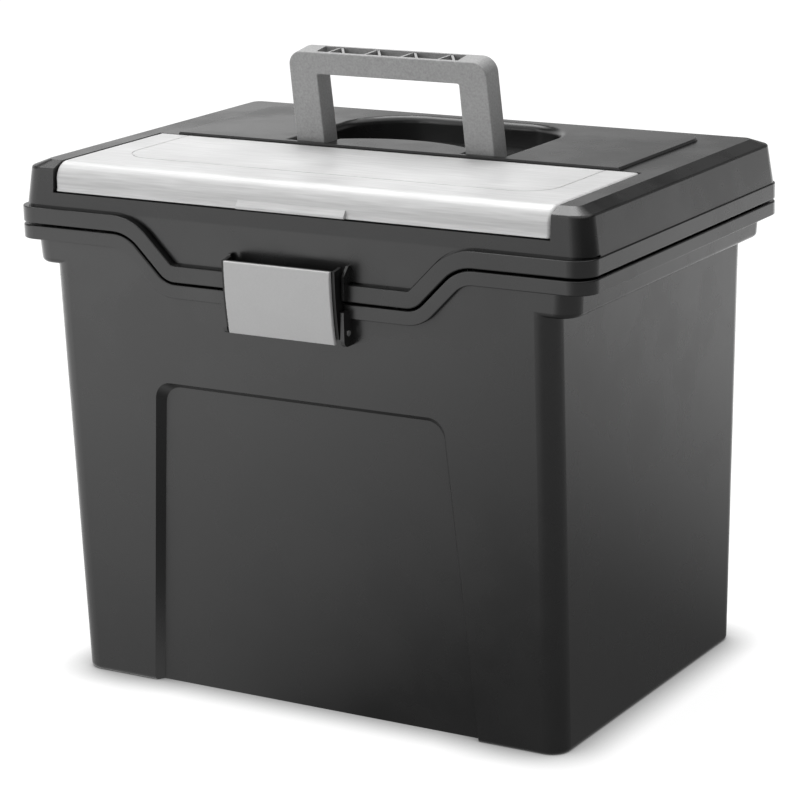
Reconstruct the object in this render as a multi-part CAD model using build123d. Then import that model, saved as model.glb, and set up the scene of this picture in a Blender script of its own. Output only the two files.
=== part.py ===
from build123d import *
import math
import os

# Portable file box with an organizer in its lid.
# Millimetres. X runs across the front, Y towards the hinge, Z up.
# The origin is the centre of the base, on the surface that the box stands on.

# --- Tub: letter-size hanging folders hang inside it ---
tub_rim_half_x = 154.7
tub_rim_half_y = 115.8
tub_draft_x = 2.3
tub_draft_y = 9.1
tub_base_half_x = tub_rim_half_x - tub_draft_x
tub_base_half_y = tub_rim_half_y - tub_draft_y
tub_corner_radius = 11.0
tub_wall = 2.5
tub_floor = 3.0
tub_foot_fillet = 2.5
parting_height = 256.4

# --- Wide shoulder at the two sides, where the folder hooks hang ---
shoulder_reach = 12.0
shoulder_draft = 1.4
shoulder_depth = 20.9
shoulder_fillet = 3.0
shoulder_rim_half_x = tub_rim_half_x + shoulder_reach
shoulder_low_half_x = shoulder_rim_half_x - shoulder_draft
shoulder_bottom = parting_height - shoulder_depth
rail_thickness = 2.3
rail_height = 8.5

# --- Recessed panel on the front of the tub ---
panel_top = 176.0
panel_top_half_x = 89.4
panel_foot_half_x = 103.5
panel_depth = 5.0
panel_side_run = 3.4
panel_corner_radius = 10.0

# --- Rim flange of the tub and skirt of the lid ---
band_side_reach = 8.7
band_front_reach = 2.1
band_half_x = shoulder_rim_half_x + band_side_reach
band_half_y = tub_rim_half_y + band_front_reach
band_radius = 12.0
flange_height = 7.6
flange_plate = 2.5
flange_skirt = 2.4
flange_soft_edge = 0.6
band_height = 10.1
band_wall = 2.6
band_top_fillet = 0.5
seam_gap = 1.2
seam_edge_fillet = 0.8

# --- Parting line drops in the middle of the front ---
seam_drop = 24.4
seam_low_half_x = 77.0
seam_ramp_angle = 45.0
seam_low_radius = 14.0
seam_high_radius = 22.0
seam_zone_depth = 9.5

# --- Lid shell: its walls stand back from the band, most of all at the front ---
lid_wall = 2.5
lid_step = 1.0
lid_front_step = 4.0
lid_foot_slot = 1.1
lid_foot_slot_depth = 1.3
lid_side_lean = 3.0
lid_front_lean = 2.0
lid_rise = 31.1
lid_crown = 3.4
lid_corner_radius = 10.0
lid_bevel_run = 8.5
lid_bevel_radius = 5.0
lid_edge_fillet = 1.5
lid_shoulder_height = parting_height + lid_rise
lid_top_height = lid_shoulder_height + lid_crown
lid_wall_half_x = band_half_x - lid_step
lid_wall_half_y = band_half_y - (lid_step + lid_front_step) / 2
lid_middle_y = (lid_front_step - lid_step) / 2
lid_wall_front = lid_middle_y - lid_wall_half_y
lid_shoulder_half_x = lid_wall_half_x - lid_side_lean
lid_shoulder_half_y = lid_wall_half_y - lid_front_lean

# --- Organizer cover ---
cover_side_margin = 19.8
cover_setback = 6.5
cover_half_x = lid_shoulder_half_x - cover_side_margin
cover_front_y = cover_setback - band_half_y
cover_thickness = 2.8
cover_rise = 0.1
cover_clearance = 0.5
cover_lip_gap = 0.8
cover_lip_height = 15.5
cover_lip_flare = 0.6
cover_lip_flare_height = 2.2
cover_front_radius = 9.5
cover_side_fillet = 2.4
cover_line_margin = 19.6
cover_line_front = 30.8
cover_line_radius = 20.0
cover_line_width = 0.7
cover_line_depth = 0.45
tab_half_x = 33.1
tab_height = 4.6
tab_reach = 2.4
tab_foot = 1.4
tab_foot_radius = 0.4
tab_top_radius = 0.6

# --- Cover hinge: a short pin at each end ---
cover_axis_y = -16.4
cover_axis_drop = 3.3
cover_hinge_reach = 4.4
cover_swing_room = 6.0
cover_axis_z = lid_top_height - cover_axis_drop
cover_back_y = cover_axis_y + cover_hinge_reach
cover_pin_radius = 1.4
cover_ear_radius = 3.2
cover_ear_width = 4.6
cover_pin_boss_radius = 3.6
cover_pin_boss_length = 4.0
cover_pin_end_gap = 0.5
running_gap = 0.06

# --- Raised rear panel of the lid ---
plateau_rise = 1.6
plateau_side_margin = 12.4
plateau_half_x = cover_half_x - plateau_side_margin
plateau_front = cover_axis_y + cover_swing_room
plateau_back_margin = 21.9
plateau_back = band_half_y - plateau_back_margin
plateau_radius = 14.0
plateau_edge_fillet = 1.4

# --- Organizer pocket under the cover ---
pocket_side_margin = 5.2
pocket_half_x = cover_half_x - pocket_side_margin
pocket_depth = 28.9
pocket_floor_height = lid_top_height - pocket_depth
pocket_wall = 2.0
pocket_fillet = 4.0
divider_thickness = 1.8
divider_drop = 3.0
pen_tray_width = 41.0
cross_divider_x = 49.0

# --- Handle well in the raised panel ---
well_half_x = 66.0
well_front_y = -7.2
well_back_margin = 8.0
well_back_y = plateau_back - well_back_margin
well_back_radius = 34.0
well_depth = 12.5
well_floor_height = lid_top_height - well_depth
well_wall = 2.2
well_rim_fillet = 4.0
tongue_half_x = 42.0
tongue_shoulder_y = 6.0
tongue_back_y = 18.0

# --- Carrying handle ---
handle_axis_y = 1.8
handle_axis_drop = 4.5
handle_axis_z = lid_top_height - handle_axis_drop
handle_lean = 8.8
handle_depth = 13.8
handle_top = 58.7
handle_inner_top = 46.2
handle_foot_half_x = 62.9
handle_top_half_x = 61.9
handle_inner_half_x = 44.5
handle_corner_radius = 8.5
handle_inner_radius = 1.2
handle_edge_fillet = 0.8
grip_channel_half_x = 44.4
grip_channel_wall = 2.0
grip_channel_depth = 8.0
grip_rib_count = 4
grip_rib_pitch = 23.0
grip_rib_spread = 12.5
grip_rib_shift = 2.2
grip_rib_thickness = 1.3
grip_rib_drop = 0.5
handle_pin_radius = 2.0
handle_boss_radius = 4.6
handle_boss_length = 3.6
handle_pin_bite = 2.6

# --- Front latch ---
latch_axis_reach = 0.7
latch_axis_drop = 39.2
latch_axis_y = -(band_half_y + latch_axis_reach)
latch_axis_z = parting_height - latch_axis_drop
latch_plate_half_x = 32.5
latch_plate_height = 39.1
latch_plate_drop = 5.8
latch_plate_bottom_reach = 6.9
latch_plate_top_reach = 10.3
latch_plate_top = parting_height - latch_plate_drop
latch_plate_bottom = latch_plate_top - latch_plate_height
latch_plate_bottom_y = -(band_half_y + latch_plate_bottom_reach)
latch_plate_top_y = -(band_half_y + latch_plate_top_reach)
latch_plate_bulge = 0.9
latch_plate_thickness = 1.8
latch_plate_fillet = 0.5
lever_half_x = 34.6
lever_web = 2.0
lever_cheek = 1.9
lever_cheek_radius = 0.6
lever_foot_rise = 2.9
lever_head_rise = 1.2
lever_web_bottom = latch_plate_bottom + lever_foot_rise
lever_top = latch_plate_top + lever_head_rise
lever_cheek_clearance = 0.4
lever_barrel_radius = 3.0
hook_height = 2.6
hook_clearance = 0.3
catch_half_x = 29.0
catch_drop = 13.0
catch_bottom = parting_height - catch_drop
catch_height = 2.8
catch_reach = 1.4
latch_lug_gap = 0.4
latch_lug_thickness = 2.4
latch_lug_reach = 4.4
latch_lug_foot = 7.0
latch_lug_rise = 11.8
latch_lug_radius = 3.6
latch_lug_edge = 0.8
latch_pin_radius = 1.5
latch_pin_proud = 0.4

# --- Guard ribs on the lid, one on each side of the latch ---
guard_gap = 0.8
guard_thickness = 1.5
guard_reach = 3.4
guard_low_rise = 0.9
guard_top_drop = 4.4
guard_slope = 5.0
guard_radius = 1.2

# --- Lid hinges at the back ---
hinge_axis_reach = 5.0
hinge_axis_drop = 4.4
hinge_axis_y = band_half_y + hinge_axis_reach
hinge_axis_z = parting_height - hinge_axis_drop
hinge_x = 92.0
hinge_knuckle_radius = 4.0
hinge_pin_radius = 2.0
hinge_lid_knuckle = 22.0
hinge_tub_knuckle = 11.0
hinge_side_gap = 0.5
hinge_arm_rise = 6.6
hinge_arm_step = 2.0
hinge_arm_radius = 2.0

overcut = 1.0
touch = 0.01
reach = 400.0
part_lid_top = lid_top_height + plateau_rise
seam_zone_y = -(band_half_y - seam_zone_depth)
seam_tangent = math.tan(math.radians(seam_ramp_angle / 2))
seam_ramp_run = seam_drop / math.tan(math.radians(seam_ramp_angle))


def block(x_low, x_high, y_low, y_high, z_low, z_high):
    """A box between two corners."""
    size = (x_high - x_low, y_high - y_low, z_high - z_low)
    middle = ((x_low + x_high) / 2, (y_low + y_high) / 2, (z_low + z_high) / 2)
    return Pos(*middle) * Box(*size)


def rounded_section(half_x, half_y, radius, height):
    """A rounded rectangle, level, at a height."""
    return Plane.XY.offset(height) * RectangleRounded(2 * half_x, 2 * half_y, radius)


def rounded_block(half_x, half_y, radius, z_low, z_high):
    """An upright block with rounded corners."""
    return extrude(rounded_section(half_x, half_y, radius, z_low), z_high - z_low)


def tapered_block(low, high):
    """A block between two rounded sections, each (half_x, half_y, radius, height)."""
    return loft([rounded_section(*low), rounded_section(*high)])


def rod(x_low, x_high, y, z, radius):
    """A round bar along X."""
    middle = Pos((x_low + x_high) / 2, y, z)
    return middle * Rot(0, 90, 0) * Cylinder(radius, x_high - x_low)


def side_profile(points, radii, x_low, x_high):
    """A closed outline of (y, z) points with rounded corners, extruded along X."""
    outline = FilletPolyline(*[(0, y, z) for y, z in points], radius=radii, close=True)
    face = make_face(outline)
    return Pos(x_low, 0, 0) * extrude(face, x_high - x_low, dir=(1, 0, 0))


def seam_level(x, y, offset):
    """The height of the parting line at a place, before its corners are rounded."""
    if y > seam_zone_y:
        return parting_height + offset
    rise = (abs(x) - seam_low_half_x + offset * seam_tangent) * seam_drop / seam_ramp_run
    return parting_height - seam_drop + offset + min(max(rise, 0), seam_drop)


def seam_edges(solid, offset):
    """The outer edges of a band that follow the parting line at an offset."""
    kept = []
    for edge in solid.edges():
        middle = edge.position_at(0.5)
        size = edge.bounding_box().size
        upright = size.X < seam_gap and size.Y < seam_gap
        near = abs(middle.Z - seam_level(middle.X, middle.Y, offset)) < flange_height / 2
        if near and lies_on_band(edge) and not upright:
            kept.append(edge)
    return kept


def lies_on_band(edge):
    """True for an edge on the outside face of the band."""
    box = edge.bounding_box()
    margin = band_wall / 4
    far_x = max(abs(box.min.X), abs(box.max.X)) > band_half_x - margin
    far_y = max(abs(box.min.Y), abs(box.max.Y)) > band_half_y - margin
    return far_x or far_y


def edges_at_height(solid, height):
    """The edges that lie level at one height."""
    return solid.edges().filter_by_position(Axis.Z, height - touch, height + touch)


def above_seam(offset):
    """All space above the parting line raised by an offset; the line dips at the front."""
    low = parting_height - seam_drop + offset
    high = parting_height + offset
    low_x = seam_low_half_x - offset * seam_tangent
    high_x = low_x + seam_ramp_run
    points = [(-reach, high), (-high_x, high), (-low_x, low), (low_x, low)]
    points += [(high_x, high), (reach, high), (reach, reach), (-reach, reach)]
    high_radius = seam_high_radius + offset
    low_radius = seam_low_radius - offset
    radii = [0, high_radius, low_radius, low_radius, high_radius, 0, 0, 0]
    outline = FilletPolyline(*[(x, 0, z) for x, z in points], radius=radii, close=True)
    front = Pos(0, seam_zone_y, 0) * extrude(make_face(outline), reach, dir=(0, -1, 0))
    rest = block(-reach, reach, seam_zone_y, reach, high, reach)
    return front + rest


# --- Tub ---


def tub_half_y(height):
    """Half the depth of the tub's outside at a height."""
    share = height / parting_height
    return tub_base_half_y + (tub_rim_half_y - tub_base_half_y) * share


def tub_half_x(height):
    """Half the width of the tub's outside at a height."""
    share = height / parting_height
    return tub_base_half_x + (tub_rim_half_x - tub_base_half_x) * share


def tub_body(z_low, z_high, inset):
    """The tapered tub between two heights, drawn in by an inset."""
    radius = tub_corner_radius - inset
    low = (tub_half_x(z_low) - inset, tub_half_y(z_low) - inset, radius, z_low)
    high = (tub_half_x(z_high) - inset, tub_half_y(z_high) - inset, radius, z_high)
    return tapered_block(low, high)


def shoulder_body(z_low, z_high, inset):
    """The wider top of the tub, drawn in by an inset."""
    rise = parting_height - shoulder_bottom
    slope = (shoulder_rim_half_x - shoulder_low_half_x) / rise
    radius = tub_corner_radius - inset
    sections = []
    for height in (z_low, z_high):
        half_x = shoulder_low_half_x + slope * (height - shoulder_bottom) - inset
        sections.append((half_x, tub_half_y(height) - inset, radius, height))
    return tapered_block(*sections)


def front_panel_recess(grow):
    """The recess in the front wall, open at the foot, grown outwards by a wall."""
    lean = math.atan((tub_rim_half_y - tub_base_half_y) / parting_height)
    normal = (0, -math.cos(lean), -math.sin(lean))
    front = Plane(origin=(0, -tub_base_half_y, 0), x_dir=(1, 0, 0), z_dir=normal)
    slope = (panel_foot_half_x - panel_top_half_x) / panel_top
    below = 2 * panel_depth
    faces = []
    for level, run in ((panel_depth, -panel_side_run), (-panel_depth - grow, panel_side_run)):
        top = panel_top - run + grow
        top_x = panel_top_half_x - run + grow
        foot_x = panel_foot_half_x - run * (1 - slope) + slope * below + grow
        points = [(-foot_x, -below), (foot_x, -below), (top_x, top), (-top_x, top)]
        radius = panel_corner_radius + grow
        outline = FilletPolyline(*points, radius=[0, 0, radius, radius], close=True)
        faces.append(front * Pos(0, 0, level) * make_face(outline))
    return loft(faces)


def rim_flange():
    """The band round the mouth of the tub, which follows the parting line."""
    bottom = parting_height - seam_drop - flange_height
    band = rounded_block(band_half_x, band_half_y, band_radius, bottom, parting_height)
    band = (band & above_seam(-flange_height)) - above_seam(0)
    inside = rounded_block(
        band_half_x - seam_zone_depth,
        band_half_y - seam_zone_depth,
        band_radius,
        bottom,
        parting_height,
    )
    band = fillet(seam_edges(band, -flange_height), flange_soft_edge)
    band = fillet(seam_edges(band, 0), seam_edge_fillet)
    hollow_in = shoulder_rim_half_x + tub_wall / 2
    hollow_top = parting_height - flange_plate
    hollow_y = band_half_y - band_radius
    for side in (-1, 1):
        span = sorted((side * hollow_in, side * (band_half_x - flange_skirt)))
        band -= block(*span, -hollow_y, hollow_y, bottom, hollow_top)
    return band - inside


def latch_lug(side):
    """One ear on the tub that holds an end of the latch pin."""
    inner = lever_half_x + latch_lug_gap
    span = sorted((side * inner, side * (inner + latch_lug_thickness)))
    front = latch_axis_y - latch_lug_reach
    root = -tub_half_y(latch_axis_z) + tub_wall / 2
    bottom = latch_axis_z - latch_lug_foot
    top = latch_axis_z + latch_lug_rise
    points = [(root, bottom), (front, bottom), (front, top), (root, top)]
    radii = [0, latch_lug_radius, latch_lug_edge, 0]
    return side_profile(points, radii, *span)


def hinge_knuckle_spans(x):
    """The X spans of the two tub knuckles on either side of a lid knuckle."""
    inner = hinge_lid_knuckle / 2 + hinge_side_gap
    outer = inner + hinge_tub_knuckle
    return [(x - outer, x - inner), (x + inner, x + outer)]


def tub_hinge(x):
    """Two knuckles on the rim flange that carry one hinge pin."""
    solids = []
    web_bottom = hinge_axis_z - hinge_knuckle_radius
    for x_low, x_high in hinge_knuckle_spans(x):
        barrel = rod(x_low, x_high, hinge_axis_y, hinge_axis_z, hinge_knuckle_radius)
        root = tub_half_y(web_bottom) - tub_wall / 2
        points = [(root, web_bottom - hinge_knuckle_radius), (hinge_axis_y, web_bottom)]
        points += [(hinge_axis_y, hinge_axis_z), (root, hinge_axis_z)]
        web = side_profile(points, [0, 0, 0, 0], x_low, x_high)
        solids.append(barrel + web)
    return solids


def bin_shell():
    """The tub: body, shoulders, moulded rails, flange, latch lugs and hinge knuckles."""
    outer = tub_body(0, parting_height, 0)
    outer = fillet(edges_at_height(outer, 0), tub_foot_fillet)
    shoulder = shoulder_body(shoulder_bottom, parting_height, 0)
    shoulder = fillet(edges_at_height(shoulder, shoulder_bottom), shoulder_fillet)
    shoulder -= block(
        -tub_half_x(shoulder_bottom) + tub_corner_radius,
        tub_half_x(shoulder_bottom) - tub_corner_radius,
        -reach,
        reach,
        0,
        parting_height,
    )
    outer = (outer + shoulder) - above_seam(0)
    outer = outer + rim_flange() - front_panel_recess(0)
    for side in (-1, 1):
        outer += latch_lug(side)
        for knuckle in tub_hinge(side * hinge_x):
            outer += knuckle

    rail_foot = shoulder_bottom + tub_wall
    rail_top = rail_foot + rail_height
    mouth = parting_height + overcut
    cavity = tub_body(tub_floor, mouth, tub_wall) - front_panel_recess(tub_wall)
    cavity += shoulder_body(rail_top, mouth, tub_wall)
    rail_outer = tub_half_x(shoulder_bottom) - tub_wall + rail_thickness
    pocket = shoulder_body(rail_foot, rail_top, tub_wall)
    pocket -= block(-rail_outer, rail_outer, -reach, reach, 0, reach)
    shell = outer - cavity - pocket
    for side in (-1, 1):
        shell -= rod(*hinge_pin_span(side), hinge_axis_y, hinge_axis_z, hinge_pin_radius)
    return shell - latch_pin()


# --- Lid ---


def lid_outside():
    """The outer form of the lid before it is hollowed."""
    step_height = parting_height + band_height
    bottom = parting_height - seam_drop
    band = rounded_block(band_half_x, band_half_y, band_radius, bottom, step_height)
    band = (band & above_seam(seam_gap)) - above_seam(band_height)
    band = fillet(seam_edges(band, seam_gap), seam_edge_fillet)
    band = fillet(seam_edges(band, band_height), band_top_fillet)
    foot = (lid_wall_half_x, lid_wall_half_y, band_radius - lid_step)
    wall = Pos(0, lid_middle_y, 0) * rounded_block(*foot, bottom, step_height)
    wall = wall & above_seam(seam_gap)
    shoulder = (lid_shoulder_half_x, lid_shoulder_half_y, lid_corner_radius)
    upper = tapered_block((*foot, step_height), (*shoulder, lid_shoulder_height))
    crown = tapered_block(
        (*shoulder, lid_shoulder_height),
        (
            lid_shoulder_half_x - lid_bevel_run,
            lid_shoulder_half_y - lid_bevel_run,
            lid_bevel_radius,
            lid_top_height,
        ),
    )
    upper = upper + crown
    upper = fillet(edges_at_height(upper, lid_shoulder_height), lid_edge_fillet)
    return band + wall + Pos(0, lid_middle_y, 0) * upper


def lid_foot_groove():
    """The narrow slot at the foot of the lid's front wall, just above the band."""
    bottom = parting_height - seam_drop
    top = parting_height + band_height + lid_foot_slot
    core = (lid_wall_half_x - lid_foot_slot_depth, lid_wall_half_y - lid_foot_slot_depth)
    radius = band_radius - lid_step - lid_foot_slot_depth
    groove = above_seam(band_height) - above_seam(band_height + lid_foot_slot)
    groove &= block(-reach, reach, -reach, lid_wall_front + band_radius, bottom, top)
    return groove - Pos(0, lid_middle_y, 0) * rounded_block(*core, radius, bottom, top)


def lid_inside():
    """The hollow under the lid, one wall inside its outer form."""
    step_height = parting_height + band_height
    bottom = parting_height - seam_drop - overcut
    under_step = step_height - lid_wall
    hollow = rounded_block(
        band_half_x - band_wall,
        band_half_y - band_wall,
        band_radius - band_wall,
        bottom,
        step_height,
    )
    hollow = hollow - above_seam(band_height - lid_wall)
    radius = band_radius - lid_step - lid_wall
    foot = (lid_wall_half_x - lid_wall, lid_wall_half_y - lid_wall, radius)
    upper = rounded_block(*foot, bottom, under_step)
    crown_x = lid_shoulder_half_x - lid_wall
    crown_y = lid_shoulder_half_y - lid_wall
    crown_z = lid_shoulder_height - lid_wall
    upper += tapered_block((*foot, under_step), (crown_x, crown_y, radius, crown_z))
    run = lid_bevel_run - lid_wall / 2
    upper += tapered_block(
        (crown_x, crown_y, radius, crown_z),
        (crown_x - run, crown_y - run, radius / 2, lid_top_height - lid_wall),
    )
    return hollow + Pos(0, lid_middle_y, 0) * upper


def plateau():
    """The raised rear panel of the lid."""
    panel = block(
        -plateau_half_x,
        plateau_half_x,
        plateau_front,
        plateau_back,
        lid_top_height - lid_wall,
        part_lid_top,
    )
    upright = panel.edges().filter_by(Axis.Z).group_by(Axis.Y)[-1]
    panel = fillet(upright, plateau_radius)
    rim = edges_at_height(panel, part_lid_top)
    return fillet([e for e in rim if e.center().Y > plateau_front + touch], plateau_edge_fillet)


def well_face(grow):
    """The plan of the handle well, grown outwards by a wall."""
    half = well_half_x + grow
    front = well_front_y - grow
    back = well_back_y + grow
    tongue = tongue_half_x - grow
    shoulder = tongue_shoulder_y - grow / 2
    crest = tongue_back_y - grow
    corner = well_back_radius + grow
    edges = Polyline((-tongue, shoulder), (-tongue, front), (-half, front), (-half, back - corner))
    edges += RadiusArc((-half, back - corner), (-half + corner, back), corner)
    edges += Line((-half + corner, back), (half - corner, back))
    edges += RadiusArc((half - corner, back), (half, back - corner), corner)
    edges += Polyline((half, back - corner), (half, front), (tongue, front), (tongue, shoulder))
    edges += ThreePointArc((tongue, shoulder), (0, crest), (-tongue, shoulder))
    return make_face(edges)


def well_block(grow, z_low, z_high):
    """The handle well as a solid between two heights."""
    return Pos(0, 0, z_low) * extrude(well_face(grow), z_high - z_low)


def is_well_rim_edge(edge):
    """True for an edge of the well's mouth, round its straight sides and its back."""
    box = edge.bounding_box()
    level = abs(box.min.Z - part_lid_top) < touch and abs(box.max.Z - part_lid_top) < touch
    inside = max(-box.min.X, box.max.X) < well_half_x + touch
    behind = box.min.Y > tongue_back_y
    return level and inside and behind and box.max.Y < well_back_y + touch


def cover_seat_height():
    """The level of the ledge that the cover rests over."""
    return lid_top_height + cover_rise - cover_thickness - cover_clearance


def cover_lip_bottom():
    """The level of the lip's lower edge."""
    return lid_top_height + cover_rise - cover_lip_height


def lid_front_tray_walls():
    """The walls of the organizer pocket and of the seat round the cover."""
    seat = cover_seat_height()
    notch_x = cover_half_x + cover_clearance
    outer_x = notch_x + lid_wall
    inner_front = cover_front_y + cover_thickness + cover_clearance
    back = well_front_y
    floor = pocket_floor_height - pocket_wall
    seat_low = seat - lid_wall
    solids = block(-outer_x, outer_x, inner_front, back, seat_low, seat)
    tray_x = pocket_half_x + pocket_wall
    solids += block(-tray_x, tray_x, inner_front, back, floor, seat)
    ledge_top = cover_lip_bottom() - cover_lip_gap
    front = lid_wall_front + lid_wall / 2
    sill_back = inner_front + pocket_wall
    sill_low = ledge_top - lid_wall
    solids += block(-outer_x, outer_x, front, sill_back, sill_low, ledge_top)
    for side in (-1, 1):
        span = sorted((side * notch_x, side * outer_x))
        solids += block(*span, front, back, sill_low, lid_top_height - lid_wall / 2)
        span = sorted((side * tray_x, side * outer_x))
        solids += block(*span, front, sill_back, sill_low, seat)
    return solids & lid_outside()


def pocket_cavity():
    """The space inside the organizer pocket, with its dividers left standing."""
    front = cover_front_y + cover_thickness + cover_clearance + pocket_wall
    space = block(
        -pocket_half_x,
        pocket_half_x,
        front,
        plateau_front,
        pocket_floor_height,
        reach,
    )
    space = fillet(space.edges().filter_by(Axis.Z), pocket_fillet)
    top = cover_seat_height() - divider_drop
    half = divider_thickness / 2
    divider_y = front + pen_tray_width
    space -= block(-reach, reach, divider_y - half, divider_y + half, 0, top)
    for side in (-1, 1):
        middle = side * cross_divider_x
        space -= block(middle - half, middle + half, divider_y, reach, 0, top)
    return space


def cover_seat_cut():
    """What the cover takes out of the lid's top and front, with its clearance."""
    seat = cover_seat_height()
    half = cover_half_x + cover_clearance
    inner_front = cover_front_y + cover_thickness + cover_clearance
    ledge_top = cover_lip_bottom() - cover_lip_gap
    radius = cover_front_radius - cover_thickness - cover_clearance
    points = [(inner_front, 0), (inner_front, seat), (reach, seat), (reach, 0)]
    kept = side_profile(points, [0, radius, 0, 0], -reach, reach)
    cut = block(-half, half, -reach, plateau_front, ledge_top, reach) - kept
    swing = cover_swing_radius() + cover_clearance
    ear_low = cover_axis_z - swing
    cut += block(-half, half, cover_axis_y - swing, plateau_front, ear_low, reach)
    return cut


def cover_swing_radius():
    """How far the cover's back edge reaches from its hinge axis."""
    top = lid_top_height + cover_rise
    return math.hypot(cover_back_y - cover_axis_y, top - cover_axis_z)


def cover_ear_seat():
    """Walls under the ears of the cover, at both ends of its hinge."""
    outer_x = cover_half_x + cover_clearance + lid_wall
    swing = cover_swing_radius() + cover_clearance + pocket_wall
    low = cover_axis_z - swing
    return block(-outer_x, outer_x, cover_axis_y - swing, well_front_y, low, cover_seat_height())


def latch_catch():
    """The ledge on the lid that the latch's hook stands over."""
    return block(
        -catch_half_x,
        catch_half_x,
        -(band_half_y + catch_reach),
        lid_wall_front + lid_wall / 2,
        catch_bottom,
        catch_bottom + catch_height,
    )


def latch_guard(side):
    """A rib on the lid beside the latch, with a sloping top."""
    inner = lever_half_x + guard_gap
    span = sorted((side * inner, side * (inner + guard_thickness)))
    root = lid_wall_front + lid_wall / 2
    front = -(band_half_y + guard_reach)
    low = parting_height - seam_drop + seam_gap + guard_low_rise
    top = parting_height - guard_top_drop
    points = [(root, low), (front, low), (front, top - guard_slope)]
    points += [(front + guard_slope, top), (root, top)]
    return side_profile(points, [0, guard_radius, guard_radius, guard_radius, 0], *span)


def lid_hinge_knuckle(x):
    """The knuckle and arm on the lid's skirt that turn on one hinge pin."""
    half = hinge_lid_knuckle / 2
    barrel = rod(x - half, x + half, hinge_axis_y, hinge_axis_z, hinge_knuckle_radius)
    skirt = band_half_y - band_wall / 2
    low = parting_height + seam_gap
    back = hinge_axis_y + hinge_knuckle_radius
    clear = band_half_y + seam_gap
    points = [(skirt, low), (clear, low), (hinge_axis_y - hinge_knuckle_radius, hinge_axis_z)]
    arm_top = parting_height + hinge_arm_rise
    points += [(back, hinge_axis_z), (back, low + hinge_arm_step), (band_half_y, arm_top)]
    points += [(skirt, arm_top)]
    radii = [0, 0, 0, 0, hinge_arm_radius, 0, 0]
    return barrel + side_profile(points, radii, x - half, x + half)


def lid_shell():
    """The lid: skirt, walls, top, organizer pocket, handle well and hinge knuckles."""
    shell = lid_outside() - lid_foot_groove() - lid_inside()
    shell += lid_front_tray_walls()
    shell += cover_ear_seat()
    shell += plateau()
    bottom = well_floor_height - well_wall
    shell += well_block(well_wall, bottom, lid_top_height - lid_wall / 2)
    for side in (-1, 1):
        for inner in (tongue_half_x - handle_boss_length, well_half_x):
            ends = sorted((side * inner, side * (inner + handle_boss_length)))
            boss = rod(*ends, handle_axis_y, handle_axis_z, handle_boss_radius)
            shell += boss & block(-reach, reach, -reach, reach, bottom, lid_top_height)
        notch_x = cover_half_x + cover_clearance + lid_wall / 2
        ends = sorted((side * notch_x, side * (notch_x + cover_pin_boss_length)))
        boss = rod(*ends, cover_axis_y, cover_axis_z, cover_pin_boss_radius)
        shell += boss & block(-reach, reach, -reach, reach, 0, lid_top_height - lid_wall / 2)
        shell += lid_hinge_knuckle(side * hinge_x)
        shell += latch_guard(side)
    shell += latch_catch()
    shell -= well_block(0, well_floor_height, reach)
    shell = fillet([e for e in shell.edges() if is_well_rim_edge(e)], well_rim_fillet)
    shell -= cover_seat_cut()
    shell -= pocket_cavity()
    for side in (-1, 1):
        shell -= handle_pin(side)
        shell -= rod(*cover_pin_span(side), cover_axis_y, cover_axis_z, cover_pin_radius + running_gap)
        shell -= rod(
            *hinge_pin_span(side), hinge_axis_y, hinge_axis_z, hinge_pin_radius + running_gap
        )
    return shell


# --- Organizer cover ---


def cover_pin_span(side):
    """Where a cover pin starts and ends along X."""
    inner = cover_half_x - cover_ear_width
    outer = cover_half_x + cover_clearance + lid_wall / 2 + cover_pin_boss_length
    return sorted((side * inner, side * (outer - cover_pin_end_gap)))


def cover_pin(side):
    """A short steel pin, pressed into the cover's ear and turning in the lid."""
    return rod(*cover_pin_span(side), cover_axis_y, cover_axis_z, cover_pin_radius)


def organizer_cover():
    """The cover: a flat top, a rounded front edge, a lip with a thumb tab, and two ears."""
    top = lid_top_height + cover_rise
    under = top - cover_thickness
    inner_y = cover_front_y + cover_thickness
    outer_radius = cover_front_radius
    inner_radius = cover_front_radius - cover_thickness
    low = cover_lip_bottom()
    points = [(cover_back_y, top), (cover_front_y, top)]
    points += [(cover_front_y, low + cover_lip_flare_height), (cover_front_y - cover_lip_flare, low)]
    points += [(inner_y, low), (inner_y, under), (cover_back_y, under)]
    radii = [0, outer_radius, 0, 0, 0, inner_radius, 0]
    shell = side_profile(points, radii, -cover_half_x, cover_half_x)
    ends = [e for e in shell.edges() if is_cover_end_edge(e)]
    shell = fillet(ends, cover_side_fillet)

    tab_front = cover_front_y - tab_reach
    tab_points = [(inner_y, low), (tab_front, low), (tab_front, low + tab_foot)]
    tab_points += [(cover_front_y, low + tab_height), (inner_y, low + tab_height)]
    tab_radii = [0, tab_foot_radius, tab_top_radius, 0, 0]
    shell += side_profile(tab_points, tab_radii, -tab_half_x, tab_half_x)

    frame_plan = cover_line_plan(0) - cover_line_plan(cover_line_width)
    shell -= Pos(0, 0, top - cover_line_depth) * extrude(frame_plan, cover_thickness)

    for side in (-1, 1):
        ends = sorted((side * (cover_half_x - cover_ear_width), side * cover_half_x))
        ear = rod(*ends, cover_axis_y, cover_axis_z, cover_ear_radius)
        root = block(
            *ends,
            cover_axis_y - cover_ear_radius,
            cover_axis_y + cover_ear_radius,
            cover_axis_z,
            top - cover_thickness / 2,
        )
        shell += (ear + root) & block(-reach, reach, -reach, reach, 0, top - cover_thickness / 2)
        shell -= cover_pin(side)
    return shell


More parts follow.
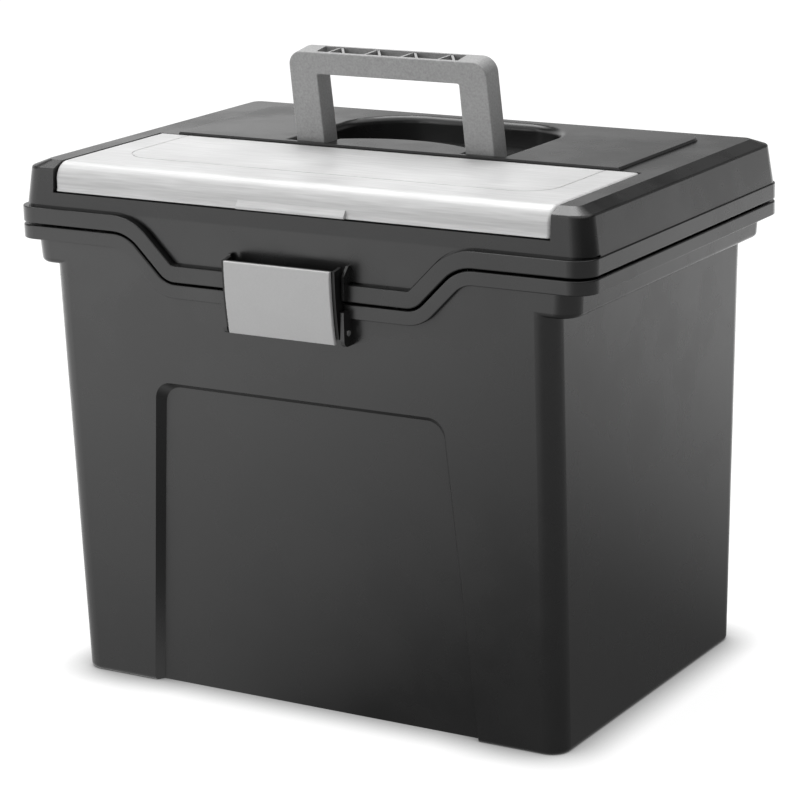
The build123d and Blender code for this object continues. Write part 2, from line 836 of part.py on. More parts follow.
def is_cover_end_edge(edge):
    """True for an outer edge at either end of the cover."""
    middle = edge.position_at(0.5)
    if abs(middle.X) < cover_half_x - touch:
        return False
    if edge.bounding_box().size.X > touch:
        return False
    top = lid_top_height + cover_rise
    corner_y = cover_front_y + cover_front_radius
    corner_z = top - cover_front_radius
    distance = math.hypot(middle.Y - corner_y, middle.Z - corner_z)
    on_top = middle.Z > top - touch
    on_front = middle.Y < cover_front_y + touch
    foot = middle.Z < cover_lip_bottom() + touch
    return (on_top or on_front or abs(distance - cover_front_radius) < touch) and not foot


def cover_line_plan(inset):
    """The plan of the fine line on the cover, open towards the hinge."""
    half = cover_half_x - cover_line_margin - inset
    front = cover_front_y + cover_line_front + inset
    radius = cover_line_radius - inset
    back = cover_back_y + overcut
    points = [(-half, front), (half, front), (half, back), (-half, back)]
    return make_face(FilletPolyline(*points, radius=[radius, radius, 0, 0], close=True))


# --- Handle ---


def handle_pin(side):
    """A steel pin through one leg of the handle, pressed into the lid at both ends."""
    inner = tongue_half_x - handle_pin_bite
    outer = well_half_x + handle_pin_bite
    ends = sorted((side * inner, side * outer))
    return rod(*ends, handle_axis_y, handle_axis_z, handle_pin_radius)


def handle():
    """The carrying handle: two legs and a grip with an open, ribbed channel on top."""
    foot = handle_depth / 2
    points = [(-handle_foot_half_x, -foot), (-handle_top_half_x, handle_top)]
    points += [(handle_top_half_x, handle_top), (handle_foot_half_x, -foot)]
    points += [(handle_inner_half_x, -foot), (handle_inner_half_x, handle_inner_top)]
    points += [(-handle_inner_half_x, handle_inner_top), (-handle_inner_half_x, -foot)]
    outer_radius = handle_corner_radius
    inner_radius = handle_inner_radius
    radii = [0, outer_radius, outer_radius, 0, 0, inner_radius, inner_radius, 0]
    outline = FilletPolyline(*[(x, 0, z) for x, z in points], radius=radii, close=True)
    frame = extrude(make_face(outline), foot, dir=(0, 1, 0), both=True)
    long_edges = [e for e in frame.edges() if is_handle_rim_edge(e)]
    frame = fillet(long_edges, handle_edge_fillet)
    rounded = rod(-reach, reach, 0, 0, foot) + block(-reach, reach, -foot, foot, 0, reach)
    frame = frame & rounded

    channel_half_y = foot - grip_channel_wall
    floor = handle_top - grip_channel_depth
    channel = block(
        -grip_channel_half_x,
        grip_channel_half_x,
        -channel_half_y,
        channel_half_y,
        floor,
        reach,
    )
    frame -= channel
    rib_top = handle_top - grip_rib_drop
    for index in range(grip_rib_count):
        middle = (index - (grip_rib_count - 1) / 2) * grip_rib_pitch
        for side in (-1, 1):
            frame += grip_rib(middle, side, channel_half_y, floor, rib_top) & channel
    for side in (-1, 1):
        frame -= rod(*sorted((0, side * reach)), 0, 0, handle_pin_radius + running_gap)
    return Pos(0, handle_axis_y, handle_axis_z) * Rot(handle_lean, 0, 0) * frame


def is_handle_rim_edge(edge):
    """True for an edge of the handle's front or back outline above its feet."""
    foot = handle_depth / 2
    box = edge.bounding_box()
    on_face = box.size.Y < touch and abs(abs(box.min.Y) - foot) < touch
    return on_face and box.max.Z > -foot + touch


def grip_rib(middle, side, half_y, floor, top):
    """One slanted rib in the grip's channel, from the back wall to the front wall."""
    foot = middle + grip_rib_shift + side * grip_rib_spread / 2
    front = Vector(foot, -half_y - grip_rib_thickness, 0)
    back = Vector(middle, half_y + grip_rib_thickness, 0)
    run = front - back
    turn = math.degrees(math.atan2(run.Y, run.X))
    centre = (front + back) / 2
    plate = Box(run.length, grip_rib_thickness, top - floor + overcut)
    return Pos(centre.X, centre.Y, (top + floor - overcut) / 2) * Rot(0, 0, turn) * plate


# --- Latch ---


def latch_curve(shift):
    """The gently bowed front line of the latch, moved back by a shift."""
    middle_y = (latch_plate_bottom_y + latch_plate_top_y) / 2 - latch_plate_bulge + shift
    middle_z = (latch_plate_bottom + latch_plate_top) / 2
    low = (0, latch_plate_bottom_y + shift, latch_plate_bottom)
    high = (0, latch_plate_top_y + shift, latch_plate_top)
    return ThreePointArc(low, (0, middle_y, middle_z), high)


def latch_layer(front_shift, back_shift, half_x):
    """A bowed layer of the latch between two shifts of its front line."""
    front = latch_curve(front_shift)
    back = latch_curve(back_shift)
    edges = front + Line(front @ 1, back @ 1) + back + Line(back @ 0, front @ 0)
    return Pos(-half_x, 0, 0) * extrude(make_face(edges), 2 * half_x, dir=(1, 0, 0))


def latch_plate():
    """The light face plate of the latch."""
    plate = latch_layer(0, latch_plate_thickness, latch_plate_half_x)
    front = [e for e in plate.edges() if is_latch_front_edge(e)]
    return fillet(front, latch_plate_fillet)


def is_latch_front_edge(edge):
    """True for an edge of the plate's front face."""
    middle = edge.position_at(0.5)
    share = (middle.Z - latch_plate_bottom) / (latch_plate_top - latch_plate_bottom)
    chord = latch_plate_bottom_y + (latch_plate_top_y - latch_plate_bottom_y) * share
    return middle.Y < chord + latch_plate_thickness / 4


def lid_swing_reach(half_y, height):
    """How far forward a point on the lid's front comes as the lid opens."""
    return math.hypot(hinge_axis_y + half_y, hinge_axis_z - height) - hinge_axis_y


def latch_lever():
    """The dark lever behind the plate: web, cheeks, pivot barrel and hook."""
    web_front = latch_plate_thickness
    web_back = web_front + lever_web
    web = latch_layer(web_front, web_back, lever_half_x)
    web = web & block(-reach, reach, -reach, reach, lever_web_bottom, reach)
    barrel = rod(-lever_half_x, lever_half_x, latch_axis_y, latch_axis_z, lever_barrel_radius)
    band_low = parting_height - seam_drop + seam_gap
    band_face = -lid_swing_reach(band_half_y, band_low) - lever_cheek_clearance
    root_y = latch_plate_bottom_y + web_front + lever_web / 2
    top_y = latch_plate_top_y + web_front
    cheek_points = [(root_y, lever_web_bottom), (latch_axis_y, latch_axis_z)]
    cheek_points += [(band_face, parting_height - seam_drop - flange_height)]
    cheek_points += [(band_face, lever_top), (top_y + lever_web / 2, latch_plate_top)]
    radii = [0, 0, 0, lever_cheek_radius, 0]
    lever = web + barrel
    for side in (-1, 1):
        span = sorted((side * (lever_half_x - lever_cheek), side * lever_half_x))
        lever += side_profile(cheek_points, radii, *span)
    hook_face = -lid_swing_reach(band_half_y + catch_reach, catch_bottom) - hook_clearance
    hook_low = catch_bottom + catch_height + hook_clearance
    hook_half = lever_half_x - lever_cheek / 2
    lever += block(
        -hook_half,
        hook_half,
        latch_plate_top_y + web_front + lever_web / 2,
        hook_face,
        hook_low,
        hook_low + hook_height,
    )
    edge = latch_curve(web_front)
    lever -= block(-reach, reach, -reach, (edge @ 0).Y - lever_web, 0, lever_web_bottom)
    return lever - rod(-reach, reach, latch_axis_y, latch_axis_z, latch_pin_radius + running_gap)


def latch_pin():
    """The steel pin that the latch turns on, pressed into the tub's two lugs."""
    end = lever_half_x + latch_lug_gap + latch_lug_thickness + latch_pin_proud
    return rod(-end, end, latch_axis_y, latch_axis_z, latch_pin_radius)


# --- Lid hinge pins ---


def hinge_pin_span(side):
    """Where a hinge pin starts and ends along X."""
    half = hinge_lid_knuckle / 2 + hinge_side_gap + hinge_tub_knuckle
    return (side * hinge_x - half, side * hinge_x + half)


def hinge_pin(side):
    """A steel hinge pin, pressed into the tub's knuckles and turning in the lid's."""
    return rod(*hinge_pin_span(side), hinge_axis_y, hinge_axis_z, hinge_pin_radius)


def main():
    """Write one file for each piece of the box."""
    os.makedirs("parts", exist_ok=True)
    pieces = {
        "bin_shell": bin_shell(),
        "lid_shell": lid_shell(),
        "organizer_cover": organizer_cover(),
        "cover_pin_left": cover_pin(-1),
        "cover_pin_right": cover_pin(1),
        "handle": handle(),
        "handle_pin_left": handle_pin(-1),
        "handle_pin_right": handle_pin(1),
        "latch_lever": latch_lever(),
        "latch_plate": latch_plate(),
        "latch_pin": latch_pin(),
        "hinge_pin_left": hinge_pin(-1),
        "hinge_pin_right": hinge_pin(1),
    }
    for name, solid in pieces.items():
        export_step(solid, f"parts/{name}.step")
        print(f"{name}: volume {solid.volume:.0f} mm3")


main()
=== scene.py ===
"""Portable file box with an organizer lid: the finishes of its pieces, the studio and the camera."""

import logging
import math
from dataclasses import dataclass, field
from enum import Enum

import bmesh
import bpy
from mathutils import Matrix, Vector

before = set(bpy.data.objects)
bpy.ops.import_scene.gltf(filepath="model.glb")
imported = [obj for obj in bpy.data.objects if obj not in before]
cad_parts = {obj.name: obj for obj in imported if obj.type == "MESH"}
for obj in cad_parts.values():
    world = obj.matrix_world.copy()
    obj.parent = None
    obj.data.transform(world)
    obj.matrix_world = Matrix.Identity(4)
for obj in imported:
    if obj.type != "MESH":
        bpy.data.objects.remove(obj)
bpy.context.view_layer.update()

LOG = logging.getLogger("file_box")
MM = 0.001
# Nearly all of a noise texture's values lie between these two.
NOISE_LOW = 0.3
NOISE_HIGH = 0.7


def linear(colour: str, alpha: float = 1.0) -> tuple[float, float, float, float]:
    """Turn an sRGB hex colour into the linear values that shaders take.

    Args:
        colour: Six hex digits after a hash sign.
        alpha: The fourth value.

    Returns:
        Red, green, blue and alpha.
    """
    digits = colour.lstrip("#")
    shares = [int(digits[i:i + 2], 16) / 255 for i in (0, 2, 4)]
    values = [s / 12.92 if s <= 0.04045 else ((s + 0.055) / 1.055) ** 2.4 for s in shares]
    return (values[0], values[1], values[2], alpha)


def add(
    tree: bpy.types.NodeTree, kind: str, inputs: dict | None = None, **settings: object,
) -> bpy.types.Node:
    """Add one node with its settings, its values and its links.

    Args:
        tree: The node tree that takes the node.
        kind: The node's type, as Blender names it.
        inputs: Socket name or number to a value, or to the output socket that feeds it.
        settings: The node's own properties.

    Returns:
        The new node.
    """
    made = tree.nodes.new(kind)
    for name, value in settings.items():
        setattr(made, name, value)
    for key, value in (inputs or {}).items():
        if isinstance(value, bpy.types.NodeSocket):
            tree.links.new(value, made.inputs[key])
        else:
            made.inputs[key].default_value = value
    return made


def empty_material(name: str) -> bpy.types.Material:
    """Make a node material without any node.

    Args:
        name: The material's name.

    Returns:
        The new material.
    """
    made = bpy.data.materials.new(name)
    made.use_nodes = True
    made.node_tree.nodes.clear()
    return made


class Surface(Enum):
    """How a mould's steel was finished: how much longer its grain is along X than across it."""

    SPARK_ERODED = 1.0
    BRUSHED = 22.0


@dataclass(frozen=True)
class MouldedPlastic:
    """An injection-moulded plastic: its colour, its gloss and the grain of its mould.

    The grain is drawn coarser than a real mould's, which is too fine to show at this distance.

    Attributes:
        name: The material's name.
        colour: The darker sRGB hex colour of the plastic.
        pale: The lighter sRGB hex colour that it shows in places.
        roughness: Mean roughness of the skin.
        ior: Index of refraction of the plastic.
        surface: How the mould's steel was finished, which sets the run of the grain.
        grain_mm: Spacing of the mould's grain.
        grain_depth_mm: Height of that grain.
        grain_share: How much of the colour's change follows the grain instead of the clouds.
        cloud_mm: Size of the clouds in which gloss and colour vary.
        cloud_detail: Octaves of those clouds.
        grain_detail: Octaves of the grain.
        gloss_spread: How far the roughness wanders from its mean.
        metallic: Share of metal flakes in the skin.
    """

    name: str
    colour: str
    pale: str
    roughness: float
    ior: float = 1.49
    surface: Surface = Surface.SPARK_ERODED
    grain_mm: float = 0.9
    grain_depth_mm: float = 0.010
    grain_share: float = 0.35
    cloud_mm: float = 55.0
    cloud_detail: float = 3.0
    grain_detail: float = 2.0
    gloss_spread: float = 0.05
    metallic: float = 0.0

    def material(self) -> bpy.types.Material:
        """Build the node material."""
        made = empty_material(self.name)
        tree = made.node_tree
        place = add(tree, "ShaderNodeTexCoord").outputs["Object"]
        stretch = (1 / self.surface.value, 1.0, 1.0)
        place_grain = add(tree, "ShaderNodeMapping", {"Vector": place, "Scale": stretch}).outputs[0]
        clouds = add(tree, "ShaderNodeTexNoise", {
            "Vector": place, "Scale": 1 / (self.cloud_mm * MM), "Detail": self.cloud_detail, "Roughness": 0.6,
        }).outputs[0]
        grain = add(tree, "ShaderNodeTexNoise", {
            "Vector": place_grain,
            "Scale": 1 / (self.grain_mm * MM),
            "Detail": self.grain_detail,
            "Roughness": 0.55,
        }).outputs[0]
        mottle = add(tree, "ShaderNodeMix", {0: self.grain_share, 2: clouds, 3: grain}).outputs[0]
        spread = add(tree, "ShaderNodeMapRange", {
            "Value": mottle, "From Min": NOISE_LOW, "From Max": NOISE_HIGH,
        }).outputs[0]
        colour = add(tree, "ShaderNodeMix", {
            0: spread, 6: linear(self.colour), 7: linear(self.pale),
        }, data_type="RGBA").outputs[2]
        rough = add(tree, "ShaderNodeMapRange", {
            "Value": clouds,
            "From Min": NOISE_LOW,
            "From Max": NOISE_HIGH,
            "To Min": self.roughness - self.gloss_spread,
            "To Max": self.roughness + self.gloss_spread,
        }, interpolation_type="SMOOTHERSTEP").outputs[0]
        bump = add(tree, "ShaderNodeBump", {
            "Height": grain, "Distance": self.grain_depth_mm * MM, "Strength": 1.0,
        }).outputs[0]
        skin = add(tree, "ShaderNodeBsdfPrincipled", {
            "Base Color": colour,
            "Roughness": rough,
            "IOR": self.ior,
            "Metallic": self.metallic,
            "Normal": bump,
        }).outputs[0]
        add(tree, "ShaderNodeOutputMaterial", {"Surface": skin})
        return made


@dataclass(frozen=True)
class PlatedSteel:
    """Zinc-plated steel wire, drawn and cut: bright, with fine marks along it.

    Attributes:
        name: The material's name.
        colour: The plating's sRGB hex colour.
        roughness: Mean roughness of the plating.
        gloss_spread: How far the roughness wanders from its mean.
        draw_mm: Spacing of the drawing marks round the pin.
        draw_length: How much longer those marks are than wide.
        draw_depth_mm: Depth of those marks.
    """

    name: str = "zinc_plated_drawn_steel"
    colour: str = "#e2e2e2"
    roughness: float = 0.50
    gloss_spread: float = 0.06
    draw_mm: float = 0.35
    draw_length: float = 20.0
    draw_depth_mm: float = 0.004

    def material(self) -> bpy.types.Material:
        """Build the node material."""
        made = empty_material(self.name)
        tree = made.node_tree
        place = add(tree, "ShaderNodeTexCoord").outputs["Object"]
        stretch = (1 / self.draw_length, 1.0, 1.0)
        along = add(tree, "ShaderNodeMapping", {"Vector": place, "Scale": stretch}).outputs[0]
        marks = add(tree, "ShaderNodeTexNoise", {
            "Vector": along, "Scale": 1 / (self.draw_mm * MM), "Detail": 3.0,
        }).outputs[0]
        rough = add(tree, "ShaderNodeMapRange", {
            "Value": marks,
            "To Min": self.roughness - self.gloss_spread,
            "To Max": self.roughness + self.gloss_spread,
        }).outputs[0]
        bump = add(tree, "ShaderNodeBump", {
            "Height": marks, "Distance": self.draw_depth_mm * MM, "Strength": 1.0,
        }).outputs[0]
        skin = add(tree, "ShaderNodeBsdfPrincipled", {
            "Base Color": linear(self.colour), "Metallic": 1.0, "Roughness": rough, "Normal": bump,
        }).outputs[0]
        add(tree, "ShaderNodeOutputMaterial", {"Surface": skin})
        return made


# A satin black skin that mirrors the floor and the surround softly; its fine grain breaks the edges of
# the mirrored light, and faint clouds keep the large walls from looking painted.
TUB_PLASTIC = MouldedPlastic(
    "injection_moulded_black_polypropylene", "#1a1a1a", "#212121", 0.27, ior=1.56, grain_mm=1.0,
    grain_depth_mm=0.012,
)
# The same plastic with a little more gloss, which keeps the bevels of the lid crisp.
LID_PLASTIC = MouldedPlastic(
    "injection_moulded_black_polypropylene_lid", "#191919", "#202020", 0.25, ior=1.53, grain_mm=1.0,
    grain_depth_mm=0.012,
)
# A bright silver-white skin with fine streaks along the cover and a broad soft glint on its rounded
# front edge.
COVER_PLASTIC = MouldedPlastic(
    "injection_moulded_silver_polystyrene", "#c0c0c0", "#d9d9d9", 0.42, ior=1.59, surface=Surface.BRUSHED,
    grain_mm=1.3, grain_depth_mm=0.010, grain_share=0.7, metallic=0.12,
)
# A mid grey, nearly matte, with the pebbled grain that gives a grip; light falls off softly on it.
HANDLE_PLASTIC = MouldedPlastic(
    "injection_moulded_grey_polypropylene", "#929292", "#ababab", 0.52, grain_mm=1.2, grain_depth_mm=0.07,
    grain_share=0.75,
)
# A flat silver grey that stays even over the whole plate, with only a thin bright rim where its edge
# rolls over.
PLATE_PLASTIC = MouldedPlastic(
    "injection_moulded_silver_grey_abs", "#c0c0c0", "#c9c9c9", 0.42, ior=1.53, grain_mm=1.1,
    grain_depth_mm=0.012,
)
# A deep black that hardly mirrors anything, so the lever reads as a dark frame round the plate.
LEVER_PLASTIC = MouldedPlastic("injection_moulded_black_nylon", "#0f0f0f", "#131313", 0.45, ior=1.45)
# Pale metal: a small light dot where a pin's end shows between dark lugs.
PIN_STEEL = PlatedSteel()


def dress(node: str, finish: MouldedPlastic | PlatedSteel) -> bpy.types.Object:
    """Give a piece of the frame its material, which is built at its first use.

    Args:
        node: The piece's name in the frame.
        finish: What it is made of.

    Returns:
        The piece.
    """
    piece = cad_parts[node]
    piece.data.materials.clear()
    piece.data.materials.append(bpy.data.materials.get(finish.name) or finish.material())
    LOG.info("dressed %s in %s", node, finish.name)
    return piece


@dataclass
class Tub:
    """The lower shell, which carries the latch pin and the hinge pins."""

    plastic: MouldedPlastic = TUB_PLASTIC
    steel: PlatedSteel = PIN_STEEL
    pins: tuple[str, ...] = ("latch_pin", "hinge_pin_left", "hinge_pin_right")

    def build(self) -> None:
        """Dress the shell and its pins."""
        dress("bin_shell", self.plastic)
        for pin in self.pins:
            dress(pin, self.steel)


@dataclass
class Lid:
    """The lid shell and the two pins that carry the handle."""

    plastic: MouldedPlastic = LID_PLASTIC
    steel: PlatedSteel = PIN_STEEL
    pins: tuple[str, ...] = ("handle_pin_left", "handle_pin_right")

    def build(self) -> None:
        """Dress the shell and its pins."""
        dress("lid_shell", self.plastic)
        for pin in self.pins:
            dress(pin, self.steel)


@dataclass
class OrganizerCover:
    """The silver cover over the organizer pocket, with its two pins."""

    plastic: MouldedPlastic = COVER_PLASTIC
    steel: PlatedSteel = PIN_STEEL
    pins: tuple[str, ...] = ("cover_pin_left", "cover_pin_right")

    def build(self) -> None:
        """Dress the cover and its pins."""
        dress("organizer_cover", self.plastic)
        for pin in self.pins:
            dress(pin, self.steel)


@dataclass
class CarryingHandle:
    """The folding handle."""

    plastic: MouldedPlastic = HANDLE_PLASTIC

    def build(self) -> None:
        """Dress the handle."""
        dress("handle", self.plastic)


@dataclass
class FrontLatch:
    """The lever and the light plate on its face."""

    plate: MouldedPlastic = PLATE_PLASTIC
    lever: MouldedPlastic = LEVER_PLASTIC

    def build(self) -> None:
        """Dress the lever and its plate."""
        dress("latch_plate", self.plate)
        dress("latch_lever", self.lever)


@dataclass(frozen=True)
class Lamp:
    """A soft box of the studio.

    Attributes:
        name: The light's name.
        place: Where its middle is, in metres.
        aim: The point it faces, in metres.
        width: Its width in metres.
        height: Its height in metres.
        power: Its power in watts.
    """

    name: str
    place: tuple[float, float, float]
    aim: tuple[float, float, float]
    width: float
    height: float
    power: float

    def build(self) -> None:
        """Hang the light."""
        data = bpy.data.lights.new(self.name, "AREA")
        data.shape = "RECTANGLE"
        data.size = self.width
        data.size_y = self.height
        data.energy = self.power
        lamp = bpy.data.objects.new(self.name, data)
        lamp.location = self.place
        facing = Vector(self.aim) - Vector(self.place)
        lamp.rotation_euler = facing.to_track_quat("-Z", "Y").to_euler()
        lamp.visible_camera = False
        bpy.context.scene.collection.objects.link(lamp)
        LOG.info("hung %s", self.name)


@dataclass
class Studio:
    """A pale floor, a graded surround and soft boxes.

    The eye sees a pale floor, with a painted contact shadow round the box's foot, and a plain
    surround. What the glossy plastic mirrors is graded: the surround as dark flags on the set do it,
    and the floor with painted shade, dim close to the box, dim in one sector, bright elsewhere.
    Strengths are in the renderer's own unit, distances in metres and angles in degrees. An angle
    round the box starts straight ahead of its front and grows to the viewer's right.

    Attributes:
        floor_radius: Radius of the floor.
        floor_colour: The floor's sRGB hex colour for the lamps.
        floor_lift: Light that the open floor gives of itself.
        contact_shadow_reach: How far the painted contact shadow round the box's foot reaches.
        contact_shadow_depth: How fast that painted shadow darkens towards the box.
        floor_bounce: Light that the floor throws on matte skins.
        floor_mirror: What a glossy skin mirrors of the far floor.
        floor_dim_painted_shade: What it mirrors of the floor next to the box, dimmed there by painted shade.
        ramp_start: Distance at which floor_dim_painted_shade ends.
        ramp_end: Distance at which floor_mirror is reached.
        fade_start: Distance at which the mirrored floor begins to dim again.
        fade_end: Distance at which it has dimmed.
        fade_left: Share of its strength that is left there.
        flag_turn: Direction of the flagged sector's middle.
        flag_inner: Half width of its darkest part.
        flag_outer: Half width at which it ends.
        flag_floor: Share of the light that passes in its darkest part.
        sky_seen: Strength of the surround for the eye.
        sky_band: Strength of the low band.
        sky_gap: Strength of the dark gap over the band.
        sky_dome: Strength of the dome over the gap.
        band_top: Height at which the band ends.
        gap_top: Height at which the dome starts.
        soft_edge: Half width of those two changes.
        dome_edge: How far over gap_top the dome is at full strength.
        backdrop_turn: Direction of the backdrop's left side, from +X towards +Y.
        backdrop_blend: Half width of the change from its left to its right.
        backdrop_right: Strength of the band to the right, as a share.
        backdrop_left: Strength of the band to the left, as a share.
        lamps: The soft boxes.
    """

    floor_radius: float = 12.0
    floor_colour: str = "#6c6c6c"
    floor_lift: float = 0.93
    contact_shadow_reach: float = 0.024
    contact_shadow_depth: float = 1.5
    floor_bounce: float = 0.55
    floor_mirror: float = 1.95
    floor_dim_painted_shade: float = 0.68
    ramp_start: float = 0.10
    ramp_end: float = 1.0
    fade_start: float = 1.0
    fade_end: float = 1.8
    fade_left: float = 0.78
    flag_turn: float = 70.0
    flag_inner: float = 45.0
    flag_outer: float = 110.0
    flag_floor: float = 0.26
    sky_seen: float = 1.0
    sky_band: float = 0.80
    sky_gap: float = 0.03
    sky_dome: float = 1.5
    band_top: float = 23.0
    gap_top: float = 40.0
    soft_edge: float = 3.0
    dome_edge: float = 5.0
    backdrop_turn: float = 210.8
    backdrop_blend: float = 12.0
    backdrop_right: float = 0.55
    backdrop_left: float = 1.45
    lamps: tuple[Lamp, ...] = field(default_factory=lambda: (
        Lamp("overhead_box", (-0.6, 0.5, 2.1), (0.0, 0.0, 0.2), 1.5, 1.5, 27.0),
        Lamp("left_key", (-1.5, -2.0, 1.3), (0.0, 0.0, 0.15), 2.4, 1.8, 16.0),
    ))

    def build(self) -> None:
        """Lay the floor, light the surround and hang the lamps."""
        self.build_floor()
        self.build_surround()
        for lamp in self.lamps:
            lamp.build()

    def flag(self, tree: bpy.types.NodeTree, direction: bpy.types.NodeSocket) -> bpy.types.NodeSocket:
        """Work out how much light the flagged sector lets through.

        Args:
            tree: The node tree that takes the nodes.
            direction: The level direction from the box.

        Returns:
            A socket from flag_floor inside the sector to 1 outside it.
        """
        turn = math.radians(self.flag_turn)
        toward = add(tree, "ShaderNodeVectorMath", {
            0: direction, 1: (math.sin(turn), -math.cos(turn), 0.0),
        }, operation="DOT_PRODUCT").outputs["Value"]
        return add(tree, "ShaderNodeMapRange", {
            "Value": toward,
            "From Min": math.cos(math.radians(self.flag_outer)),
            "From Max": math.cos(math.radians(self.flag_inner)),
            "To Min": 1.0,
            "To Max": self.flag_floor,
        }, interpolation_type="SMOOTHSTEP").outputs[0]

    def level(self, tree: bpy.types.NodeTree, place: bpy.types.NodeSocket) -> bpy.types.NodeSocket:
        """Flatten a place to its level part."""
        flat = (1.0, 1.0, 0.0)
        return add(tree, "ShaderNodeVectorMath", {0: place, 1: flat}, operation="MULTIPLY").outputs[0]

    def build_floor(self) -> None:
        """Lay a round pale floor that the box stands on."""
        mesh = bpy.data.meshes.new("floor")
        form = bmesh.new()
        bmesh.ops.create_circle(form, cap_ends=True, radius=self.floor_radius, segments=96)
        form.to_mesh(mesh)
        form.free()
        mesh.materials.append(self.floor_paint())
        floor = bpy.data.objects.new("floor", mesh)
        bpy.context.scene.collection.objects.link(floor)
        LOG.info("laid the floor")

    def floor_paint(self) -> bpy.types.Material:
        """Build the floor's material: plain to the eye but for a painted contact shadow, with painted shade
        in what glossy skins mirror.
        """
        paint = empty_material("matte_white_paint")
        tree = paint.node_tree
        ray = add(tree, "ShaderNodeLightPath").outputs
        bounce = add(tree, "ShaderNodeEmission", {"Strength": self.floor_bounce}).outputs[0]
        graded = add(tree, "ShaderNodeEmission", {"Strength": self.mirrored_floor_with_painted_shade(tree)}).outputs[0]
        lit = add(tree, "ShaderNodeMixShader", {0: ray["Is Glossy Ray"], 1: bounce, 2: graded}).outputs[0]
        matte = add(tree, "ShaderNodeBsdfDiffuse", {"Color": linear(self.floor_colour)}).outputs[0]
        lift = add(tree, "ShaderNodeEmission", {"Strength": self.floor_glow_with_painted_shadow(tree)}).outputs[0]
        pale = add(tree, "ShaderNodeAddShader", {0: matte, 1: lift}).outputs[0]
        skin = add(tree, "ShaderNodeMixShader", {0: ray["Is Camera Ray"], 1: lit, 2: pale}).outputs[0]
        add(tree, "ShaderNodeOutputMaterial", {"Surface": skin})
        return paint

    def mirrored_floor_with_painted_shade(self, tree: bpy.types.NodeTree) -> bpy.types.NodeSocket:
        """Work out what a glossy skin mirrors of the floor, with painted shade: dim at the box and in the
        flagged sector.

        Args:
            tree: The node tree that takes the nodes.

        Returns:
            A socket with the strength at each place of the floor.
        """
        place = self.level(tree, add(tree, "ShaderNodeTexCoord").outputs["Object"])
        distance = add(tree, "ShaderNodeVectorMath", {0: place}, operation="LENGTH").outputs["Value"]
        # Painted shade: the mirrored floor is dim next to the box and brightens farther off.
        ramp = add(tree, "ShaderNodeMapRange", {
            "Value": distance,
            "From Min": self.ramp_start,
            "From Max": self.ramp_end,
            "To Min": self.floor_dim_painted_shade,
            "To Max": self.floor_mirror,
        }).outputs[0]
        fade = add(tree, "ShaderNodeMapRange", {
            "Value": distance,
            "From Min": self.fade_start,
            "From Max": self.fade_end,
            "To Min": 1.0,
            "To Max": self.fade_left,
        }).outputs[0]
        ramp = add(tree, "ShaderNodeMath", {0: ramp, 1: fade}, operation="MULTIPLY").outputs[0]
        way = add(tree, "ShaderNodeVectorMath", {0: place}, operation="NORMALIZE").outputs[0]
        # Painted shade: the flagged sector dims the mirrored floor further.
        passed = self.flag(tree, way)
        return add(tree, "ShaderNodeMath", {0: ramp, 1: passed}, operation="MULTIPLY").outputs[0]

    def floor_glow_with_painted_shadow(self, tree: bpy.types.NodeTree) -> bpy.types.NodeSocket:
        """Work out the light of the floor that the eye sees: even, with a soft painted contact shadow round
        the box.

        Args:
            tree: The node tree that takes the nodes.

        Returns:
            A socket with the strength at each place of the floor.
        """
        # Painted contact shadow: ambient occlusion darkens the floor's glow near the box's foot.
        clear = add(tree, "ShaderNodeAmbientOcclusion", {"Distance": self.contact_shadow_reach}).outputs["AO"]
        share = add(tree, "ShaderNodeMath", {0: clear, 1: self.contact_shadow_depth}, operation="POWER").outputs[0]
        return add(tree, "ShaderNodeMath", {0: share, 1: self.floor_lift}, operation="MULTIPLY").outputs[0]

    def build_surround(self) -> None:
        """Light the scene with a low band and a high dome, dark between them."""
        world = bpy.data.worlds.new("pale_surround")
        world.use_nodes = True
        tree = world.node_tree
        tree.nodes.clear()
        way = add(tree, "ShaderNodeTexCoord").outputs["Generated"]
        height = add(tree, "ShaderNodeSeparateXYZ", {0: way}).outputs["Z"]
        flat = add(tree, "ShaderNodeVectorMath", {0: self.level(tree, way)}, operation="NORMALIZE").outputs[0]
        low = add(tree, "ShaderNodeMapRange", {
            "Value": height,
            "From Min": math.sin(math.radians(self.band_top - self.soft_edge)),
            "From Max": math.sin(math.radians(self.band_top + self.soft_edge)),
            "To Min": self.sky_band,
            "To Max": self.sky_gap,
        }).outputs[0]
        passed = self.flag(tree, flat)
        low = add(tree, "ShaderNodeMath", {0: low, 1: passed}, operation="MULTIPLY").outputs[0]
        turn = math.radians(self.backdrop_turn)
        across = add(tree, "ShaderNodeVectorMath", {
            0: flat, 1: (math.cos(turn), math.sin(turn), 0.0),
        }, operation="DOT_PRODUCT").outputs["Value"]
        side = add(tree, "ShaderNodeMapRange", {
            "Value": across,
            "From Min": -math.sin(math.radians(self.backdrop_blend)),
            "From Max": math.sin(math.radians(self.backdrop_blend)),
            "To Min": self.backdrop_right,
            "To Max": self.backdrop_left,
        }, interpolation_type="SMOOTHSTEP").outputs[0]
        low = add(tree, "ShaderNodeMath", {0: low, 1: side}, operation="MULTIPLY").outputs[0]
        high = add(tree, "ShaderNodeMapRange", {
            "Value": height,
            "From Min": math.sin(math.radians(self.gap_top - self.soft_edge)),
            "From Max": math.sin(math.radians(self.gap_top + self.dome_edge)),
            "To Min": 0.0,
            "To Max": self.sky_dome,
        }).outputs[0]
        graded = add(tree, "ShaderNodeMath", {0: low, 1: high}, operation="ADD").outputs[0]
        seen = add(tree, "ShaderNodeLightPath").outputs["Is Camera Ray"]
        strength = add(tree, "ShaderNodeMix", {0: seen, 2: graded, 3: self.sky_seen}).outputs[0]
        glow = add(tree, "ShaderNodeBackground", {"Strength": strength}).outputs[0]
        add(tree, "ShaderNodeOutputWorld", {"Surface": glow})
        bpy.context.scene.world = world
        LOG.info("lit the surround")


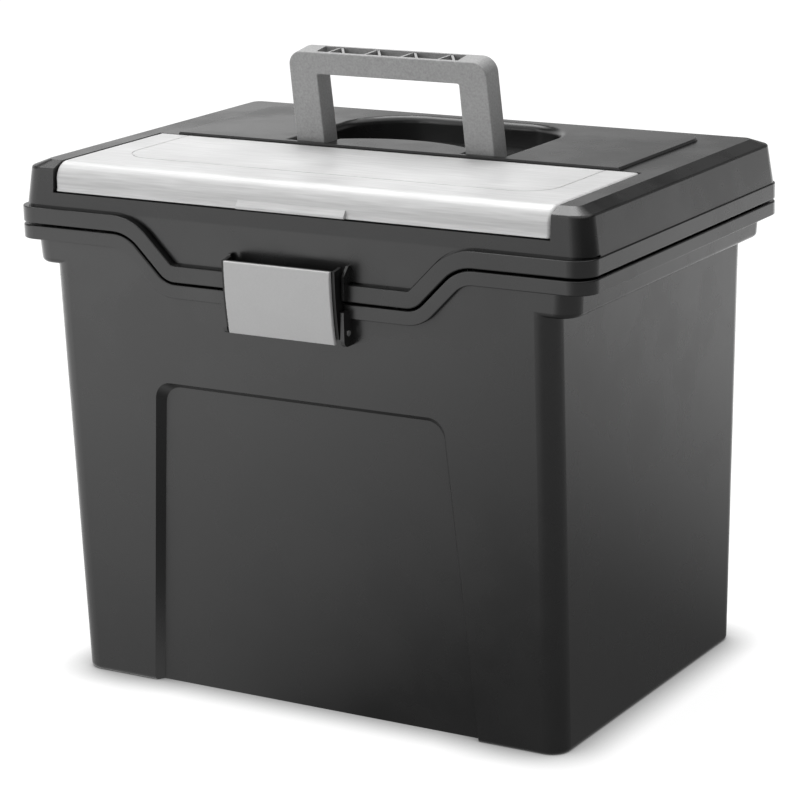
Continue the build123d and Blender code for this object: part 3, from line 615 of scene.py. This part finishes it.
@dataclass(frozen=True)
class PhotoCamera:
    """The camera at the photograph's viewing angle.

    Attributes:
        azimuth: Degrees to the right of straight ahead.
        elevation: Degrees above the horizon.
        roll: Degrees that the camera leans.
        distance: Metres from the target.
        target: The point in the middle of the picture, in metres.
        lens: Focal length in millimetres.
        sensor: Width of the sensor in millimetres.
    """

    azimuth: float = 30.83
    elevation: float = 14.99
    roll: float = -1.33
    distance: float = 1.67488
    target: tuple[float, float, float] = (-0.00352, 0.0, 0.14812)
    lens: float = 134.546
    sensor: float = 36.0

    def build(self) -> None:
        """Set up the camera and make it the scene's own."""
        turn, rise, lean = (math.radians(a) for a in (self.azimuth, self.elevation, self.roll))
        level = math.cos(rise)
        back = Vector((math.sin(turn) * level, -math.cos(turn) * level, math.sin(rise)))
        right = (-back).cross(Vector((0, 0, 1))).normalized()
        up = right.cross(-back)
        leaning_right = right * math.cos(lean) + up * math.sin(lean)
        leaning_up = up * math.cos(lean) - right * math.sin(lean)
        data = bpy.data.cameras.new("photo_camera")
        data.lens = self.lens
        data.sensor_width = self.sensor
        data.clip_start = 0.05
        data.clip_end = 60.0
        camera = bpy.data.objects.new("photo_camera", data)
        axes = Matrix((leaning_right, leaning_up, back)).transposed().to_4x4()
        camera.matrix_world = Matrix.Translation(Vector(self.target) + back * self.distance) @ axes
        bpy.context.scene.collection.objects.link(camera)
        bpy.context.scene.camera = camera
        LOG.info("set up the camera")


def main() -> None:
    """Build every sub-assembly, the studio and the camera."""
    logging.basicConfig(level=logging.INFO, format="%(name)s: %(message)s")
    bpy.context.scene.view_settings.view_transform = "Standard"
    for assembly in (Tub(), Lid(), OrganizerCover(), CarryingHandle(), FrontLatch()):
        assembly.build()
    Studio().build()
    PhotoCamera().build()


if __name__ == "__main__":
    main()
